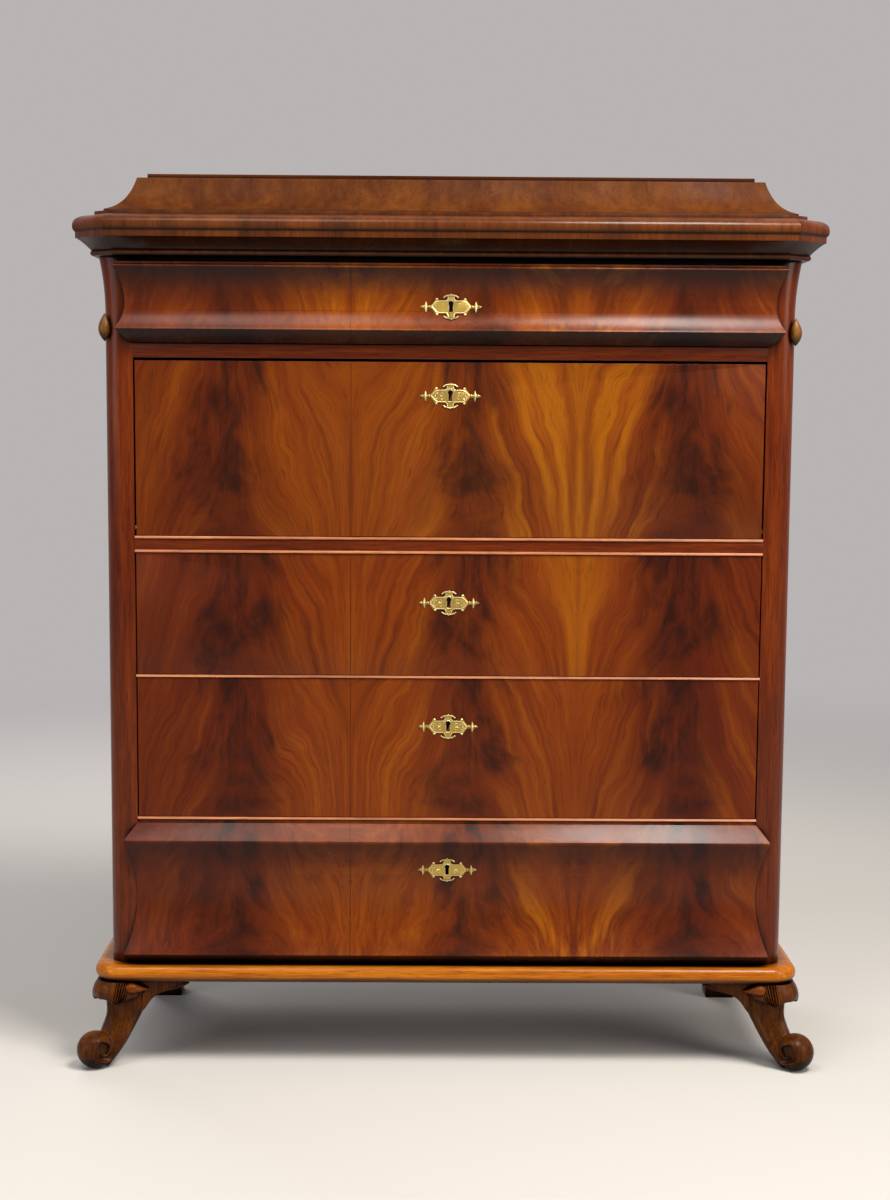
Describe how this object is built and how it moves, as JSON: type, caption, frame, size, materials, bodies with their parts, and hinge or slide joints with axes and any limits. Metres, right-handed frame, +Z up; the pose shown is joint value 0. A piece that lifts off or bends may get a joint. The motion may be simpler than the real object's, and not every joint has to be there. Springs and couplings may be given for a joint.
{
  "type": "fall-front secretary desk",
  "caption": "Upright wooden secretary chest with a fall-front writing flap, coved frieze drawer, long drawers, canted cornice with flared attic, and scroll feet.",
  "frame": {"origin": "on the floor under the middle of the whole outline", "axes": "+X to the viewer's right along the front, +Y from the front to the back, +Z up"},
  "size_m": [1.146, 0.486, 1.3698],
  "materials": {
    "figured_veneer": "flame-figured veneer, French polished",
    "case_veneer": "straight-grained veneer, French polished",
    "cornice_veneer": "cross-banded veneer, French polished",
    "moulding_wood": "French polished",
    "base_wood": "lighter orange wood, polished",
    "carved_wood": "carved solid wood, dark polish",
    "gallery_wood": "waxed light wood",
    "lining_wood": "plain unpolished softwood",
    "brass": "cast and polished",
    "steel": "dull wrought lock iron",
    "leather": "smooth dark writing leather"
  },
  "bodies": {
    "case": {"side_panel_left": "case_veneer", "side_panel_right": "case_veneer", "back_panel": "lining_wood", "corner_post_left": "moulding_wood", "corner_post_right": "moulding_wood", "top_board": "lining_wood", "bottom_board": "lining_wood", "frieze_divider": "moulding_wood", "flap_rail": "moulding_wood", "middle_divider": "lining_wood", "lower_divider": "lining_wood", "middle_bead": "moulding_wood", "lower_bead": "moulding_wood", "cornice_front": "cornice_veneer", "cornice_side_left": "cornice_veneer", "cornice_side_right": "cornice_veneer", "cornice_back": "lining_wood", "attic_frame": "cornice_veneer", "attic_top": "cornice_veneer", "base_plate": "base_wood", "front_foot_left": "carved_wood", "front_foot_right": "carved_wood", "back_foot_left": "carved_wood", "back_foot_right": "carved_wood", "desk_floor": "gallery_wood", "desk_side_left": "gallery_wood", "desk_side_right": "gallery_wood", "gallery_case": "gallery_wood"},
    "flap": {"flap_panel": "figured_veneer", "writing_leather": "leather", "flap_stay_left": "brass", "flap_stay_right": "brass", "flap_pivot_pin_left": "brass", "flap_pivot_pin_right": "brass", "flap_escutcheon": "brass", "flap_lock": "steel"},
    "flap_bolt": {"flap_bolt": "steel"},
    "frieze_drawer": {"frieze_drawer_front": "figured_veneer", "frieze_drawer_tray": "lining_wood", "frieze_drawer_escutcheon": "brass", "frieze_drawer_lock": "steel"},
    "frieze_bolt": {"frieze_drawer_bolt": "steel"},
    "second_drawer": {"second_drawer_front": "figured_veneer", "second_drawer_tray": "lining_wood", "second_drawer_escutcheon": "brass", "second_drawer_lock": "steel"},
    "second_bolt": {"second_drawer_bolt": "steel"},
    "third_drawer": {"third_drawer_front": "figured_veneer", "third_drawer_tray": "lining_wood", "third_drawer_escutcheon": "brass", "third_drawer_lock": "steel"},
    "third_bolt": {"third_drawer_bolt": "steel"},
    "bottom_drawer": {"bottom_drawer_front": "figured_veneer", "bottom_drawer_tray": "lining_wood", "bottom_drawer_escutcheon": "brass", "bottom_drawer_lock": "steel"},
    "bottom_bolt": {"bottom_drawer_bolt": "steel"},
    "gallery_drawer": {"gallery_drawer": "gallery_wood", "gallery_drawer_knob": "brass"}
  },
  "joints": [
    {"name": "flap_hinge", "type": "hinge", "parent": "case", "child": "flap", "pos_m": [0, -0.176, 0.837], "axis": [1, 0, 0], "range_deg": [0, 90]},
    {"name": "flap_bolt_slide", "type": "slide", "parent": "flap", "child": "flap_bolt", "axis": [0, 0, 1], "range_m": [0, 0.01]},
    {"name": "frieze_drawer_slide", "type": "slide", "parent": "case", "child": "frieze_drawer", "axis": [0, -1, 0], "range_m": [0, 0.3]},
    {"name": "frieze_bolt_slide", "type": "slide", "parent": "frieze_drawer", "child": "frieze_bolt", "axis": [0, 0, 1], "range_m": [0, 0.01]},
    {"name": "second_drawer_slide", "type": "slide", "parent": "case", "child": "second_drawer", "axis": [0, -1, 0], "range_m": [0, 0.3]},
    {"name": "second_bolt_slide", "type": "slide", "parent": "second_drawer", "child": "second_bolt", "axis": [0, 0, 1], "range_m": [0, 0.01]},
    {"name": "third_drawer_slide", "type": "slide", "parent": "case", "child": "third_drawer", "axis": [0, -1, 0], "range_m": [0, 0.3]},
    {"name": "third_bolt_slide", "type": "slide", "parent": "third_drawer", "child": "third_bolt", "axis": [0, 0, 1], "range_m": [0, 0.01]},
    {"name": "bottom_drawer_slide", "type": "slide", "parent": "case", "child": "bottom_drawer", "axis": [0, -1, 0], "range_m": [0, 0.3]},
    {"name": "bottom_bolt_slide", "type": "slide", "parent": "bottom_drawer", "child": "bottom_bolt", "axis": [0, 0, 1], "range_m": [0, 0.01]},
    {"name": "gallery_drawer_slide", "type": "slide", "parent": "case", "child": "gallery_drawer", "axis": [0, -1, 0], "range_m": [0, 0.1]}
  ]
}
